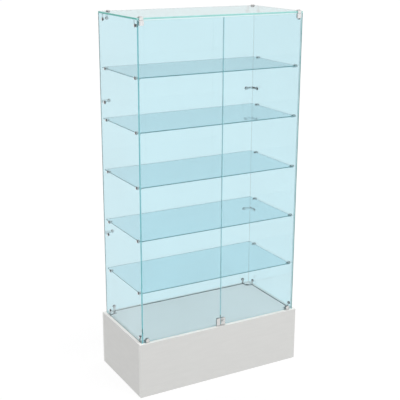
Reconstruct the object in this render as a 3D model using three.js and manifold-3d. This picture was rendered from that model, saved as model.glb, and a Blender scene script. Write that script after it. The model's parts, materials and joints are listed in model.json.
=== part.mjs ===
// Pedestal display case: a glass showcase with two swinging doors and five glass shelves on a low
// board pedestal. Millimetres, +Z up, front towards -Y, origin on the floor under the centre.

import * as THREE from "three";
import { mergeVertices } from "three/addons/utils/BufferGeometryUtils.js";
import Module from "manifold-3d";

const wasm = await Module();
wasm.setup();

// ---- Driving dimensions ----

// Pedestal
const BASE_WIDTH = 900;
const BASE_DEPTH = 450;
const BASE_HEIGHT = 280;
const BOARD = 16;

// Glass
const CASE_HEIGHT = 1520; // from the deck to the underside of the top glass
const WALL_GLASS = 5;
const DOOR_GLASS = 5;
const SHELF_GLASS = 5;
const TOP_GLASS = 8;
const FRONT_OVERHANG = 5; // the walls and doors reach this far in front of the deck's edge

// Doors
const DOOR_END_GAP = 5; // above and below each door
const DOOR_SIDE_GAP = 2;
const DOOR_CENTRE_GAP = 3;
const PIVOT_INSET = 16; // from a door's outer edge to its axis
const PIN_RADIUS = 2.5;

// Shelves: heights of their top faces above the deck
const SHELF_HEIGHTS = [250, 509, 766, 1022, 1268];
const SHELF_END_GAP = 5;
const SHELF_DOOR_GAP = 18;
const SHELF_REAR_GAP = 8;

// Shelf supports
const SUPPORT_WIDTH = 14;
const SUPPORT_LOWER_REACH = 20;
const SUPPORT_UPPER_REACH = 15;
const SUPPORT_JAW = 4;
const SUPPORT_FRONT_INSET = 11;
const SUPPORT_REAR_INSET = 45;
const SUPPORT_CAP_RADIUS = 6;
const SUPPORT_CAP = 2.5;

// Screws through the glass
const SCREW_RADIUS = 3;
const GLASS_HOLE_GAP = 1; // around a screw or the lock
const INNER_HEAD_RADIUS = 8;
const INNER_HEAD = 3.5;
const OUTER_HEAD_RADIUS = 7;
const OUTER_HEAD = 3;
const HEAD_TAPER = 0.78; // a head's free face, as a share of its width at the glass
const WOOD_SCREW_LENGTH = 12;

// Rear connectors
const LINK_HEIGHTS = { lower: 437, upper: 1103 }; // centres above the deck
const CONNECTOR_REACH = 40; // from the inner corner to each screw
const CONNECTOR_PLATE = 2.5;
const CONNECTOR_WIDTH = 12;
const CORNER_RISE = 26; // from the deck or the top glass to a corner fitting's screws
const FOOT_INSET = 30; // from each wall to the middle of a rear corner's foot
const FOOT_RADIUS = 10;

// Front corner brackets
const BRACKET_LEG = 4;
const BRACKET_LEG_HEIGHT = 34;
const BRACKET_PLATE = 2;
const BRACKET_FOOT_REACH = 32; // along the deck from the side glass
const TONGUE_WIDTH = 14;
const TOP_CAP_RADIUS = 10.5;
const TOP_CAP = 6;
const TOP_CAP_INSET = 14.5; // from the side glass to the middle of the cap
const TOP_CLIP = 3;

// Door pivot clamps
const CLAMP_CHEEK = 3;
const CLAMP_WEB = 2;
const CLAMP_DISC_RADIUS = 10;
const CLAMP_DISC_OFFSET = 6.5; // from the axis towards the door's middle
const CLAMP_SQUARE = 23;
const CLAMP_SQUARE_OFFSET = -2.2;

// Lock
const LOCK_WIDTH = 24;
const STRIKE_WIDTH = 21;
const LOCK_TOP = 42; // above the deck
const LOCK_SEAM_GAP = 2; // from the seam between the doors to the lock's parts
const LOCK_FRONT_PLATE = 3;
const LOCK_REAR_PLATE = 2;
const LOCK_RISE = 23; // the cylinder's axis above the deck
const LOCK_BARREL_RADIUS = 10.5;
const LOCK_BARREL_LENGTH = 7.3;
const LOCK_PLUG_RADIUS = 6;
const LOCK_SPINDLE_RADIUS = 3;
const LOCK_KEYWAY = { width: 1.5, height: 7, depth: 2 };
const CAM_WIDTH = 11;
const CAM_REACH = 18;
const CAM_PLATE = 2;
const CAM_NUT_RADIUS = 5;
const CAM_NUT = 2;

// Clearances
const SEAT = 0.3; // between pieces that rest on each other
const RUNNING_GAP = 0.25; // around a turning pin, plug or spindle
const MOVING_GAP = 1.5; // between a swinging edge and a fixed fitting
const WEB_GAP = 0.4; // between a pivot clamp and the plate that it turns on

// Sides of the round shapes
const SHANK_SIDES = 8;
const HEAD_SIDES = 12;
const DISC_SIDES = 20;

// ---- Places worked out from the dimensions ----

const deckX = BASE_WIDTH / 2 - BOARD;
const deckY = BASE_DEPTH / 2 - BOARD;
const wallX = deckX - WALL_GLASS; // inner face of a side glass
const rearY = deckY - WALL_GLASS; // inner face of the rear glass
const frontY = -deckY - FRONT_OVERHANG; // front face of the doors
const doorBackY = frontY + DOOR_GLASS;
const topZ = BASE_HEIGHT + CASE_HEIGHT; // underside of the top glass
const middleZ = BASE_HEIGHT + CASE_HEIGHT / 2;
const doorX = wallX - DOOR_SIDE_GAP; // a door's outer edge
const pivotX = doorX - PIVOT_INSET;
const pivotY = frontY + DOOR_GLASS / 2;
const plateZ = BASE_HEIGHT + SEAT; // underside of a fitting that lies on the deck
const webZ = plateZ + BRACKET_PLATE + WEB_GAP; // underside of a lower pivot clamp
const shelfX = wallX - SHELF_END_GAP;
const shelfFrontY = doorBackY + SHELF_DOOR_GAP;
const shelfRearY = rearY - SHELF_REAR_GAP;
const supportYs = {
  front: shelfFrontY + SUPPORT_FRONT_INSET,
  rear: shelfRearY - SUPPORT_REAR_INSET,
};
const linkX = wallX - CONNECTOR_REACH; // screws in the rear glass
const linkY = rearY - CONNECTOR_REACH; // rear screws in a side glass
const cornerZ = BASE_HEIGHT + CORNER_RISE;
const footX = wallX - FOOT_INSET;
const footY = rearY - FOOT_INSET;
const lockX = LOCK_SEAM_GAP + LOCK_BARREL_RADIUS;
const lockZ = BASE_HEIGHT + LOCK_RISE;
const cheekGap = SEAT + CLAMP_CHEEK; // from the glass to a clamp's outer face

// Behind the pivot, a fixed piece at x has to stay this far back for the door's edge to pass it.
function sweepReach(x) {
  const radius = Math.hypot(PIVOT_INSET, DOOR_GLASS / 2) + MOVING_GAP;
  return Math.sqrt(Math.max(radius ** 2 - (x - pivotX) ** 2, 0));
}
const legX = wallX - SEAT - BRACKET_LEG; // inner face of a front bracket's leg
const legFrontY = pivotY + sweepReach(legX);
const bracketScrewY = pivotY + sweepReach(legX - INNER_HEAD) + INNER_HEAD_RADIUS;
const legRearY = bracketScrewY + INNER_HEAD_RADIUS + 1;
const bracketFootX = wallX - BRACKET_FOOT_REACH;
const topCapX = wallX - TOP_CAP_INSET;
const topCapY = frontY + TOP_CAP_RADIUS;

// ---- Materials ----

const laminate = new THREE.MeshStandardMaterial({ color: 0xdcdcda, roughness: 0.55, metalness: 0 });
const glass = new THREE.MeshStandardMaterial({
  color: 0xcfecf2,
  roughness: 0.05,
  metalness: 0,
  transparent: true,
  opacity: 0.35,
});
const chrome = new THREE.MeshStandardMaterial({ color: 0xd8dadc, roughness: 0.12, metalness: 1 });

// ---- Solids ----

// A closed geometry as a solid that can be joined and cut.
function toSolid(geometry) {
  geometry.deleteAttribute("normal");
  geometry.deleteAttribute("uv");
  const merged = mergeVertices(geometry, 1e-4);
  const vertProperties = merged.getAttribute("position").array;
  const triVerts = new Uint32Array(merged.index.array);
  return new wasm.Manifold(new wasm.Mesh({ numProp: 3, vertProperties, triVerts }));
}

// A block from one value to another on each axis.
function block([x0, x1], [y0, y1], [z0, z1]) {
  const geometry = new THREE.BoxGeometry(x1 - x0, y1 - y0, z1 - z0);
  geometry.translate((x0 + x1) / 2, (y0 + y1) / 2, (z0 + z1) / 2);
  return toSolid(geometry);
}

// A round bar between two points, which may taper.
function taperedRod(radius, endRadius, from, to, sides) {
  const start = new THREE.Vector3(...from);
  const along = new THREE.Vector3(...to).sub(start);
  const geometry = new THREE.CylinderGeometry(endRadius, radius, along.length(), sides);
  geometry.translate(0, along.length() / 2, 0);
  const up = new THREE.Vector3(0, 1, 0);
  geometry.applyQuaternion(new THREE.Quaternion().setFromUnitVectors(up, along.normalize()));
  geometry.translate(start.x, start.y, start.z);
  return toSolid(geometry);
}

// A flat bar lying on the plane z0, from one point to another, with square ends.
function flatBar(width, [x0, y0], [x1, y1], [z0, z1]) {
  const length = Math.hypot(x1 - x0, y1 - y0);
  const geometry = new THREE.BoxGeometry(length, width, z1 - z0);
  geometry.rotateZ(Math.atan2(y1 - y0, x1 - x0));
  geometry.translate((x0 + x1) / 2, (y0 + y1) / 2, (z0 + z1) / 2);
  return toSolid(geometry);
}

function shank(radius, from, to) {
  return taperedRod(radius, radius, from, to, SHANK_SIDES);
}

function disc(radius, from, to) {
  return taperedRod(radius, radius, from, to, DISC_SIDES);
}

// A round head that narrows towards its free face.
function head(radius, from, to) {
  return taperedRod(radius, radius * HEAD_TAPER, from, to, HEAD_SIDES);
}

function join(...solids) {
  return solids.reduce((whole, piece) => whole.add(piece));
}

function cut(whole, ...holes) {
  return holes.reduce((rest, hole) => rest.subtract(hole), whole);
}

function toGeometry(solid) {
  const { vertProperties, triVerts } = solid.getMesh();
  const geometry = new THREE.BufferGeometry();
  geometry.setAttribute("position", new THREE.BufferAttribute(vertProperties, 3));
  geometry.setIndex(new THREE.BufferAttribute(triVerts, 1));
  return geometry;
}

// The same geometry on the left side, or at the top of the case, or both.
function reflected(geometry, side, end) {
  const flipX = side === "left" ? -1 : 1;
  const flipZ = end === "top" ? -1 : 1;
  geometry.translate(0, 0, -middleZ);
  geometry.scale(flipX, 1, flipZ);
  geometry.translate(0, 0, middleZ);
  if (flipX * flipZ < 0) geometry.index.array.reverse();
  return geometry;
}

const displayCase = new THREE.Group();
displayCase.name = "pedestal_display_case";

function addPiece(name, solid, material, side = "right", end = "bottom") {
  const mesh = new THREE.Mesh(reflected(toGeometry(solid), side, end), material);
  mesh.name = name;
  displayCase.add(mesh);
}

// ---- Pedestal ----

function addPedestal() {
  const halfWidth = BASE_WIDTH / 2;
  const halfDepth = BASE_DEPTH / 2;
  const tall = [0, BASE_HEIGHT];
  const between = [-deckY + SEAT, deckY - SEAT];
  const deckBottom = BASE_HEIGHT - BOARD;
  const across = [-halfWidth, halfWidth];
  addPiece("base_front_panel", block(across, [-halfDepth, -deckY], tall), laminate);
  addPiece("base_rear_panel", block(across, [deckY, halfDepth], tall), laminate);
  for (const side of ["left", "right"]) {
    addPiece(`base_${side}_panel`, block([deckX, halfWidth], between, tall), laminate, side);
  }
  const deck = block([-deckX + SEAT, deckX - SEAT], between, [deckBottom, BASE_HEIGHT]);
  const rib = block([-BOARD / 2, BOARD / 2], between, [0, deckBottom - SEAT]);
  addPiece("base_deck", cut(deck, ...deckScrewHoles()), laminate);
  addPiece("base_rib", rib, laminate);
}

function deckScrewHoles() {
  const depth = BASE_HEIGHT - WOOD_SCREW_LENGTH;
  const places = [
    [footX, footY],
    [bracketFootX + OUTER_HEAD_RADIUS, bracketScrewY],
  ];
  const above = BASE_HEIGHT + 1;
  const holes = places.flatMap(([x, y]) => [
    shank(SCREW_RADIUS + SEAT, [x, y, depth - SEAT], [x, y, above]),
    shank(SCREW_RADIUS + SEAT, [-x, y, depth - SEAT], [-x, y, above]),
  ]);
  return holes;
}

// ---- Glass ----

function holeAlongX(y, z) {
  return shank(SCREW_RADIUS + GLASS_HOLE_GAP, [wallX - 1, y, z], [deckX + 1, y, z]);
}

function holeAlongY(x, z) {
  return shank(SCREW_RADIUS + GLASS_HOLE_GAP, [x, rearY - 1, z], [x, deckY + 1, z]);
}

function addWalls() {
  const upright = [BASE_HEIGHT + SEAT, topZ - SEAT];
  const upperCornerZ = topZ - CORNER_RISE;
  const linkZs = Object.values(LINK_HEIGHTS).map((height) => BASE_HEIGHT + height);
  const rearZs = [cornerZ, upperCornerZ, ...linkZs];
  const holes = rearZs.map((z) => holeAlongX(linkY, z));
  holes.push(holeAlongX(bracketScrewY, cornerZ), holeAlongX(bracketScrewY, upperCornerZ));
  for (const height of SHELF_HEIGHTS) {
    const z = BASE_HEIGHT + height - SHELF_GLASS / 2;
    holes.push(holeAlongX(supportYs.front, z), holeAlongX(supportYs.rear, z));
  }
  for (const side of ["left", "right"]) {
    const pane = cut(block([wallX, deckX], [frontY, deckY], upright), ...holes);
    addPiece(`side_glass_${side}`, pane, glass, side);
  }
  const rearHoles = rearZs.flatMap((z) => [holeAlongY(linkX, z), holeAlongY(-linkX, z)]);
  const rearPane = block([-wallX + SEAT, wallX - SEAT], [rearY, deckY], upright);
  addPiece("rear_glass", cut(rearPane, ...rearHoles), glass);
}

function addTop() {
  const places = [
    [footX, footY],
    [topCapX, topCapY],
  ];
  const below = topZ - 1;
  const above = topZ + TOP_GLASS + 1;
  const holes = places.flatMap(([x, y]) => [
    shank(SCREW_RADIUS + GLASS_HOLE_GAP, [x, y, below], [x, y, above]),
    shank(SCREW_RADIUS + GLASS_HOLE_GAP, [-x, y, below], [-x, y, above]),
  ]);
  const plate = block([-deckX, deckX], [frontY, deckY], [topZ, topZ + TOP_GLASS]);
  addPiece("top_glass", cut(plate, ...holes), glass);
}

function addShelves() {
  SHELF_HEIGHTS.forEach((height, index) => {
    const top = BASE_HEIGHT + height;
    const shelf = block([-shelfX, shelfX], [shelfFrontY, shelfRearY], [top - SHELF_GLASS, top]);
    addPiece(`shelf_glass_${index + 1}`, shelf, glass);
  });
}

function addDoors() {
  const width = [DOOR_CENTRE_GAP / 2, doorX];
  const height = [BASE_HEIGHT + DOOR_END_GAP, topZ - DOOR_END_GAP];
  const pane = block(width, [frontY, doorBackY], height);
  const holeRadius = LOCK_PLUG_RADIUS + GLASS_HOLE_GAP;
  const lockHole = disc(holeRadius, [lockX, frontY - 1, lockZ], [lockX, doorBackY + 1, lockZ]);
  addPiece("door_glass_left", pane, glass, "left");
  addPiece("door_glass_right", cut(pane, lockHole), glass);
}

// ---- Shelf supports ----

// One jaw: a flat tongue with a round nose.
function jaw(reach, y, heights) {
  const half = SUPPORT_WIDTH / 2;
  const noseX = wallX - reach + half;
  return join(
    block([noseX, wallX - SEAT], [y - half, y + half], heights),
    taperedRod(half, half, [noseX, y, heights[0]], [noseX, y, heights[1]], HEAD_SIDES),
  );
}

function shelfSupport(y, shelfTop) {
  const shelfBottom = shelfTop - SHELF_GLASS;
  const half = SUPPORT_WIDTH / 2;
  const lowerJaw = [shelfBottom - SEAT - SUPPORT_JAW, shelfBottom - SEAT];
  const upperJaw = [shelfTop + SEAT, shelfTop + SEAT + SUPPORT_JAW];
  const axisZ = shelfTop - SHELF_GLASS / 2;
  const backX = [shelfX + SEAT, wallX - SEAT];
  const capX = deckX + SEAT;
  return join(
    jaw(SUPPORT_LOWER_REACH, y, lowerJaw),
    jaw(SUPPORT_UPPER_REACH, y, upperJaw),
    block(backX, [y - half, y + half], [lowerJaw[0], upperJaw[1]]),
    shank(SCREW_RADIUS, [backX[0], y, axisZ], [capX + SUPPORT_CAP / 2, y, axisZ]),
    head(SUPPORT_CAP_RADIUS, [capX, y, axisZ], [capX + SUPPORT_CAP, y, axisZ]),
  );
}

function addShelfSupports() {
  SHELF_HEIGHTS.forEach((height, index) => {
    for (const side of ["left", "right"]) {
      for (const [row, y] of Object.entries(supportYs)) {
        const name = `shelf_support_${index + 1}_${side}_${row}`;
        addPiece(name, shelfSupport(y, BASE_HEIGHT + height), chrome, side);
      }
    }
  });
}

// ---- Rear connectors ----

// A screw through a side glass: inner head, shank and outer head.
function screwAlongX(y, z, plate) {
  const innerX = wallX - SEAT - plate;
  const outerX = deckX + SEAT;
  return join(
    head(INNER_HEAD_RADIUS, [innerX, y, z], [innerX - INNER_HEAD, y, z]),
    shank(SCREW_RADIUS, [innerX - INNER_HEAD / 2, y, z], [outerX + OUTER_HEAD / 2, y, z]),
    head(OUTER_HEAD_RADIUS, [outerX, y, z], [outerX + OUTER_HEAD, y, z]),
  );
}

// A screw through the rear glass.
function screwAlongY(x, z, plate) {
  const innerY = rearY - SEAT - plate;
  const outerY = deckY + SEAT;
  return join(
    head(INNER_HEAD_RADIUS, [x, innerY, z], [x, innerY - INNER_HEAD, z]),
    shank(SCREW_RADIUS, [x, innerY - INNER_HEAD / 2, z], [x, outerY + OUTER_HEAD / 2, z]),
    head(OUTER_HEAD_RADIUS, [x, outerY, z], [x, outerY + OUTER_HEAD, z]),
  );
}

// A bent plate on both glasses of a rear corner, with a screw in each leg.
function rearLink(z) {
  const half = CONNECTOR_WIDTH / 2;
  const heights = [z - half, z + half];
  const sideX = wallX - SEAT;
  const backY = rearY - SEAT;
  return join(
    block([linkX - half, sideX], [backY - CONNECTOR_PLATE, backY], heights),
    block([sideX - CONNECTOR_PLATE, sideX], [linkY - half, backY], heights),
    screwAlongY(linkX, z, CONNECTOR_PLATE),
    screwAlongX(linkY, z, CONNECTOR_PLATE),
  );
}

// A foot on the deck (or under the top glass) with an arm to each glass and a screw in each arm.
function rearCorner(end) {
  const half = CONNECTOR_WIDTH / 2;
  const sideX = wallX - SEAT;
  const backY = rearY - SEAT;
  const arm = [plateZ, cornerZ + half];
  return join(
    rearFoot(sideX, backY),
    block([linkX - half, linkX + half], [backY - CONNECTOR_PLATE, backY], arm),
    block([sideX - CONNECTOR_PLATE, sideX], [linkY - half, linkY + half], arm),
    screwAlongY(linkX, cornerZ, CONNECTOR_PLATE),
    screwAlongX(linkY, cornerZ, CONNECTOR_PLATE),
    footScrew(footX, footY, CONNECTOR_PLATE),
    footFixing(footX, footY, end),
  );
}

// A round foot and a bar from it to each arm, trimmed where they meet the glasses.
function rearFoot(sideX, backY) {
  const heights = [plateZ, plateZ + CONNECTOR_PLATE];
  const inside = block([0, sideX], [0, backY], heights);
  const shape = join(
    disc(FOOT_RADIUS, [footX, footY, heights[0]], [footX, footY, heights[1]]),
    flatBar(CONNECTOR_WIDTH, [linkX, backY], [footX, footY], heights),
    flatBar(CONNECTOR_WIDTH, [sideX, linkY], [footX, footY], heights),
  );
  return shape.intersect(inside);
}

// The head of a foot's screw, above the foot.
function footScrew(x, y, plate) {
  const z = plateZ + plate;
  const top = z + INNER_HEAD;
  return head(OUTER_HEAD_RADIUS, [x, y, z - plate / 2], [x, y, top]);
}

// What holds a foot: a wood screw in the deck, or a bolt through the top glass with a cap over it.
function footFixing(x, y, end) {
  if (end === "bottom") {
    return shank(SCREW_RADIUS, [x, y, BASE_HEIGHT - WOOD_SCREW_LENGTH], [x, y, plateZ + 1]);
  }
  const outerZ = BASE_HEIGHT - TOP_GLASS - SEAT;
  return join(
    shank(SCREW_RADIUS, [x, y, outerZ - TOP_CAP / 2], [x, y, plateZ + 1]),
    head(TOP_CAP_RADIUS, [x, y, outerZ], [x, y, outerZ - TOP_CAP]),
  );
}

function addRearConnectors() {
  for (const side of ["left", "right"]) {
    for (const [level, height] of Object.entries(LINK_HEIGHTS)) {
      addPiece(`rear_link_${level}_${side}`, rearLink(BASE_HEIGHT + height), chrome, side);
    }
    for (const end of ["bottom", "top"]) {
      addPiece(`rear_corner_${end}_${side}`, rearCorner(end), chrome, side, end);
    }
  }
}

// ---- Front corner brackets ----

// A leg on the side glass, a foot on the deck (or under the top glass), and a tongue with the
// pivot hole under the door's clamp.
function frontCorner(end) {
  const sideX = wallX - SEAT;
  const plate = [plateZ, plateZ + BRACKET_PLATE];
  const tongueHalf = TONGUE_WIDTH / 2;
  const holeRadius = PIN_RADIUS + RUNNING_GAP;
  const pivotHole = disc(holeRadius, [pivotX, pivotY, plate[0] - 1], [pivotX, pivotY, plate[1] + 1]);
  const body = join(
    block([legX, sideX], [legFrontY, legRearY], [plateZ, BASE_HEIGHT + BRACKET_LEG_HEIGHT]),
    block([bracketFootX, sideX], [legFrontY, legRearY], plate),
    block([pivotX - tongueHalf, pivotX + tongueHalf], [pivotY, legRearY], plate),
    disc(tongueHalf, [pivotX, pivotY, plate[0]], [pivotX, pivotY, plate[1]]),
    screwAlongX(bracketScrewY, cornerZ, BRACKET_LEG),
  );
  const fixings = end === "bottom" ? bracketFootScrew() : topClip();
  return cut(join(body, fixings), pivotHole);
}

function bracketFootScrew() {
  const x = bracketFootX + OUTER_HEAD_RADIUS;
  return join(
    footScrew(x, bracketScrewY, BRACKET_PLATE),
    footFixing(x, bracketScrewY, "bottom"),
  );
}

// A clip round the front edge of the top glass, with the bolt's cap. It is drawn upside down, like
// the rest of an upper fitting, so the top glass's outer face is below the deck's level here.
function topClip() {
  const outerZ = BASE_HEIGHT - TOP_GLASS - SEAT;
  const across = [topCapX - TOP_CAP_RADIUS, topCapX + TOP_CAP_RADIUS];
  const lipY = frontY - SEAT;
  return join(
    footFixing(topCapX, topCapY, "top"),
    block(across, [lipY - TOP_CLIP, topCapY], [outerZ - TOP_CLIP, outerZ]),
    block(across, [lipY - TOP_CLIP, lipY], [outerZ - TOP_CLIP, plateZ + BRACKET_PLATE]),
  );
}

function addFrontCorners() {
  for (const side of ["left", "right"]) {
    for (const end of ["bottom", "top"]) {
      addPiece(`front_corner_${end}_${side}`, frontCorner(end), chrome, side, end);
    }
  }
}

// ---- Door pivot clamps ----

// Two cheeks on the door's faces, a web under its edge, and the pivot pin under the web. The
// lower clamp's front cheek is a disc, the upper one's a square.
function doorClamp(end) {
  const round = end === "bottom";
  const half = round ? CLAMP_DISC_RADIUS : CLAMP_SQUARE / 2;
  const x = pivotX - (round ? CLAMP_DISC_OFFSET : CLAMP_SQUARE_OFFSET);
  const across = [x - half, x + half];
  const height = [webZ, webZ + 2 * half];
  const frontCheek = [frontY - cheekGap, frontY - SEAT];
  const rearCheek = [doorBackY + SEAT, doorBackY + cheekGap];
  const centreZ = webZ + half;
  return join(
    round
      ? disc(half, [x, frontCheek[0], centreZ], [x, frontCheek[1], centreZ])
      : block(across, frontCheek, height),
    block(across, rearCheek, height),
    block(across, [frontCheek[0], rearCheek[1]], [webZ, webZ + CLAMP_WEB]),
    disc(PIN_RADIUS, [pivotX, pivotY, plateZ + SEAT], [pivotX, pivotY, webZ + 1]),
  );
}

function addDoorClamps() {
  for (const side of ["left", "right"]) {
    for (const end of ["bottom", "top"]) {
      addPiece(`door_clamp_${end}_${side}`, doorClamp(end), chrome, side, end);
    }
  }
}

// ---- Lock ----

// A channel that slips over a door's lower edge at the seam.
function lockChannel(width) {
  const across = [LOCK_SEAM_GAP, LOCK_SEAM_GAP + width];
  const height = [webZ, BASE_HEIGHT + LOCK_TOP];
  const front = [frontY - SEAT - LOCK_FRONT_PLATE, frontY - SEAT];
  const rear = [doorBackY + SEAT, doorBackY + SEAT + LOCK_REAR_PLATE];
  return join(
    block(across, front, height),
    block(across, rear, height),
    block(across, [front[0], rear[1]], [webZ, webZ + CLAMP_WEB]),
  );
}

function addLock() {
  const plateY = frontY - SEAT - LOCK_FRONT_PLATE;
  const barrelY = plateY - LOCK_BARREL_LENGTH;
  const rearPlateY = doorBackY + SEAT + LOCK_REAR_PLATE;
  const camY = [rearPlateY + 2 * SEAT, rearPlateY + 2 * SEAT + CAM_PLATE];
  const at = (y) => [lockX, y, lockZ];
  const barrel = disc(LOCK_BARREL_RADIUS, at(plateY + 1), at(barrelY));
  const bore = disc(LOCK_PLUG_RADIUS + RUNNING_GAP, at(barrelY - 1), at(rearPlateY + 1));
  addPiece("lock_body", cut(join(lockChannel(LOCK_WIDTH), barrel), bore), chrome);
  addPiece("lock_strike", lockChannel(STRIKE_WIDTH), chrome, "left");

  const keyway = block(
    [lockX - LOCK_KEYWAY.width / 2, lockX + LOCK_KEYWAY.width / 2],
    [barrelY - 1, barrelY + LOCK_KEYWAY.depth],
    [lockZ - LOCK_KEYWAY.height / 2, lockZ + LOCK_KEYWAY.height / 2],
  );
  const plug = join(
    disc(LOCK_PLUG_RADIUS, at(barrelY), at(camY[0] - SEAT)),
    shank(LOCK_SPINDLE_RADIUS, at(camY[0] - 1), at(camY[1] + SEAT + 1)),
    taperedRod(CAM_NUT_RADIUS, CAM_NUT_RADIUS, at(camY[1] + SEAT), at(camY[1] + SEAT + CAM_NUT), 6),
  );
  addPiece("lock_cylinder", cut(plug, keyway), chrome);

  const half = CAM_WIDTH / 2;
  const cam = join(
    block([lockX - half, lockX + half], camY, [lockZ - CAM_REACH, lockZ]),
    disc(half, at(camY[0]), at(camY[1])),
  );
  const spindleHole = shank(LOCK_SPINDLE_RADIUS + SEAT, at(camY[0] - 1), at(camY[1] + 1));
  addPiece("lock_cam", cut(cam, spindleHole), chrome);
}

addPedestal();
addWalls();
addTop();
addShelves();
addDoors();
addShelfSupports();
addRearConnectors();
addFrontCorners();
addDoorClamps();
addLock();

export default displayCase;
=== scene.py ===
"""The looks of the pedestal display case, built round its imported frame. Metres, the frame's axes.

Shapes are drawn in millimetres and scaled when their mesh is made. Every fitting is drawn at the
case's right side or lower end, and mirrored for the left side and the upper end."""

import json
import math

import bmesh
import bpy
from mathutils import Matrix, Vector

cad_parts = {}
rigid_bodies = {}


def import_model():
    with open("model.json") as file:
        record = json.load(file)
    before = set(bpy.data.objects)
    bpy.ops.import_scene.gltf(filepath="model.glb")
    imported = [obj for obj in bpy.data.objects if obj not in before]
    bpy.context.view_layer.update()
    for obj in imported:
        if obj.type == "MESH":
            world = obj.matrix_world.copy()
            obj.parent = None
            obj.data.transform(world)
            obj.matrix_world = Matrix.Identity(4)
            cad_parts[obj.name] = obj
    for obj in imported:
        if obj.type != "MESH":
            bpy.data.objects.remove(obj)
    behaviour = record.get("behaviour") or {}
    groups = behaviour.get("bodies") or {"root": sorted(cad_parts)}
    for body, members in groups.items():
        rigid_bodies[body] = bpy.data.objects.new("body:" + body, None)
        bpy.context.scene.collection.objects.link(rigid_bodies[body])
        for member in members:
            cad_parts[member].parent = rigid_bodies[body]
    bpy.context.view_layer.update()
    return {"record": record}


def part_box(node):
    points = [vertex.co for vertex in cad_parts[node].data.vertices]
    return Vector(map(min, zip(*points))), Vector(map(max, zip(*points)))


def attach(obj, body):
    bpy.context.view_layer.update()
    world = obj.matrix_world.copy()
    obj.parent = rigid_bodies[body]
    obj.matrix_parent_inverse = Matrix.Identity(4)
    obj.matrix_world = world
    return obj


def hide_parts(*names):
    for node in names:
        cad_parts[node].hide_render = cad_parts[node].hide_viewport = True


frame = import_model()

MM = 0.001

# ---- The camera, solved from the photograph's straight edges ----
CAMERA_PLACE = (-2.0506, -3.64839, 2.13286)
CAMERA_TURN = (73.32099, -0.24331, -29.26628)  # degrees
LENS = 78.46
SENSOR = 36

# ---- The part's dimensions, in millimetres ----
BASE_HEIGHT = 280
TOP_Z = 1800  # underside of the top glass
TOP_GLASS = 8
MIDDLE_Z = 1040  # the fittings of the upper end mirror the lower ones about this height
WALL_X = 429  # inner face of a side glass
DECK_X = 434  # and its outer face
REAR_Y = 204  # inner face of the rear glass
DECK_Y = 209  # and its outer face
FRONT_Y = -214  # the doors' front face
DOOR_BACK_Y = -209
SHELF_X = 424  # a shelf's end
SHELF_GLASS = 5
SHELF_TOPS = [530, 789, 1046, 1302, 1548]
SEAT = 0.3  # the gap between metal and what it holds
FILM = 0.03  # how far a pad stops short of either side of that gap

# Radii of the screws, their heads and their holes.
SCREW = 3
GLASS_HOLE = 4
WOOD_HOLE = 3.3
INNER_HEAD = 8
OUTER_HEAD = 7
FOOT_HEAD = 7
WOOD_SCREW_LENGTH = 12
HEAD_HEIGHT = 3.5

SUPPORT_YS = {"front": -180, "rear": 151}
SUPPORT_HALF = 7
SUPPORT_JAW = 4
SUPPORT_LOWER_REACH = 20
SUPPORT_UPPER_REACH = 15

LINK_ZS = {"lower": 717, "upper": 1383}
LINK_X = 389  # a connector's screw through the rear glass
LINK_Y = 164  # and through the side glass
CONNECTOR_PLATE = 2.5
CONNECTOR_WIDTH = 12
CORNER_Z = 306  # the corner fittings' screws
CORNER_ZS = [CORNER_Z, 2 * MIDDLE_Z - CORNER_Z]
FOOT = (399, 174)  # a rear corner's foot

PLATE_Z = 280.3  # underside of the fittings' feet
LEG_X = 424.7  # a front bracket's leg and plate
LEG_FRONT_Y = -200.34
LEG_REAR_Y = -180.05
LEG_TOP = BASE_HEIGHT + 34
BRACKET_LEG = 4
BRACKET_PLATE = 2
BRACKET_FOOT_X = 397
BRACKET_SCREW_Y = -189.05
BRACKET_SCREW_X = BRACKET_FOOT_X + 7
TOP_CAP = (414.5, -203.5)
TOP_CAP_RADIUS = 10.5
TOP_CLIP = 3
TONGUE = 7

PIVOT = (411, -211.5)  # a door's axis
PIN = 2.5
PIN_HOLE = 2.75
WEB_Z = 282.7  # underside of what the door carries
WEB = 2
CHEEK = 3

LOCK_X = 12.5
LOCK_Z = 303
LOCK_TOP = BASE_HEIGHT + 42
LOCK_INNER_X = 2
LOCK_WIDTH = 24
STRIKE_WIDTH = 21
LOCK_FRONT = 3
LOCK_REAR = 2
BARREL_LENGTH = 7.3
BARREL_BORE = 6.25
PLUG = 6
CAM_HALF = 5.5
CAM_REACH = 18
CAM_PLATE = 2

BODY_OF = {n: b for b, group in frame["record"]["behaviour"]["bodies"].items() for n in group}


# ---- Node materials ----


def new_tree(name):
    material = bpy.data.materials.new(name)
    material.use_nodes = True
    material.node_tree.nodes.clear()
    return material, material.node_tree


def add(tree, kind, **values):
    """A node of that kind; a value goes to the input or the property of that name."""
    node = tree.nodes.new("ShaderNode" + kind)
    for key, value in values.items():
        label = key.replace("_", " ")
        if label in node.inputs:
            node.inputs[label].default_value = value
        else:
            setattr(node, key, value)
    return node


def link(tree, start, end):
    tree.links.new(start, end)


def surface(tree, shader):
    out = add(tree, "OutputMaterial")
    link(tree, shader, out.inputs["Surface"])


def maths(tree, operation, first, second=None):
    """A Math node's result. The first term is a socket; the second may be a number."""
    node = add(tree, "Math", operation=operation)
    link(tree, first, node.inputs[0])
    if isinstance(second, float):
        node.inputs[1].default_value = second
    elif second is not None:
        link(tree, second, node.inputs[1])
    return node.outputs[0]


def noise(tree, scale, detail=3, stretch=(1, 1, 1)):
    """Noise fixed to the object, in features per metre."""
    place = add(tree, "TexCoord")
    mapping = add(tree, "Mapping", Scale=stretch)
    link(tree, place.outputs["Object"], mapping.inputs["Vector"])
    texture = add(tree, "TexNoise", Scale=scale, Detail=detail)
    link(tree, mapping.outputs[0], texture.inputs["Vector"])
    return texture.outputs["Fac"]


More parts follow.
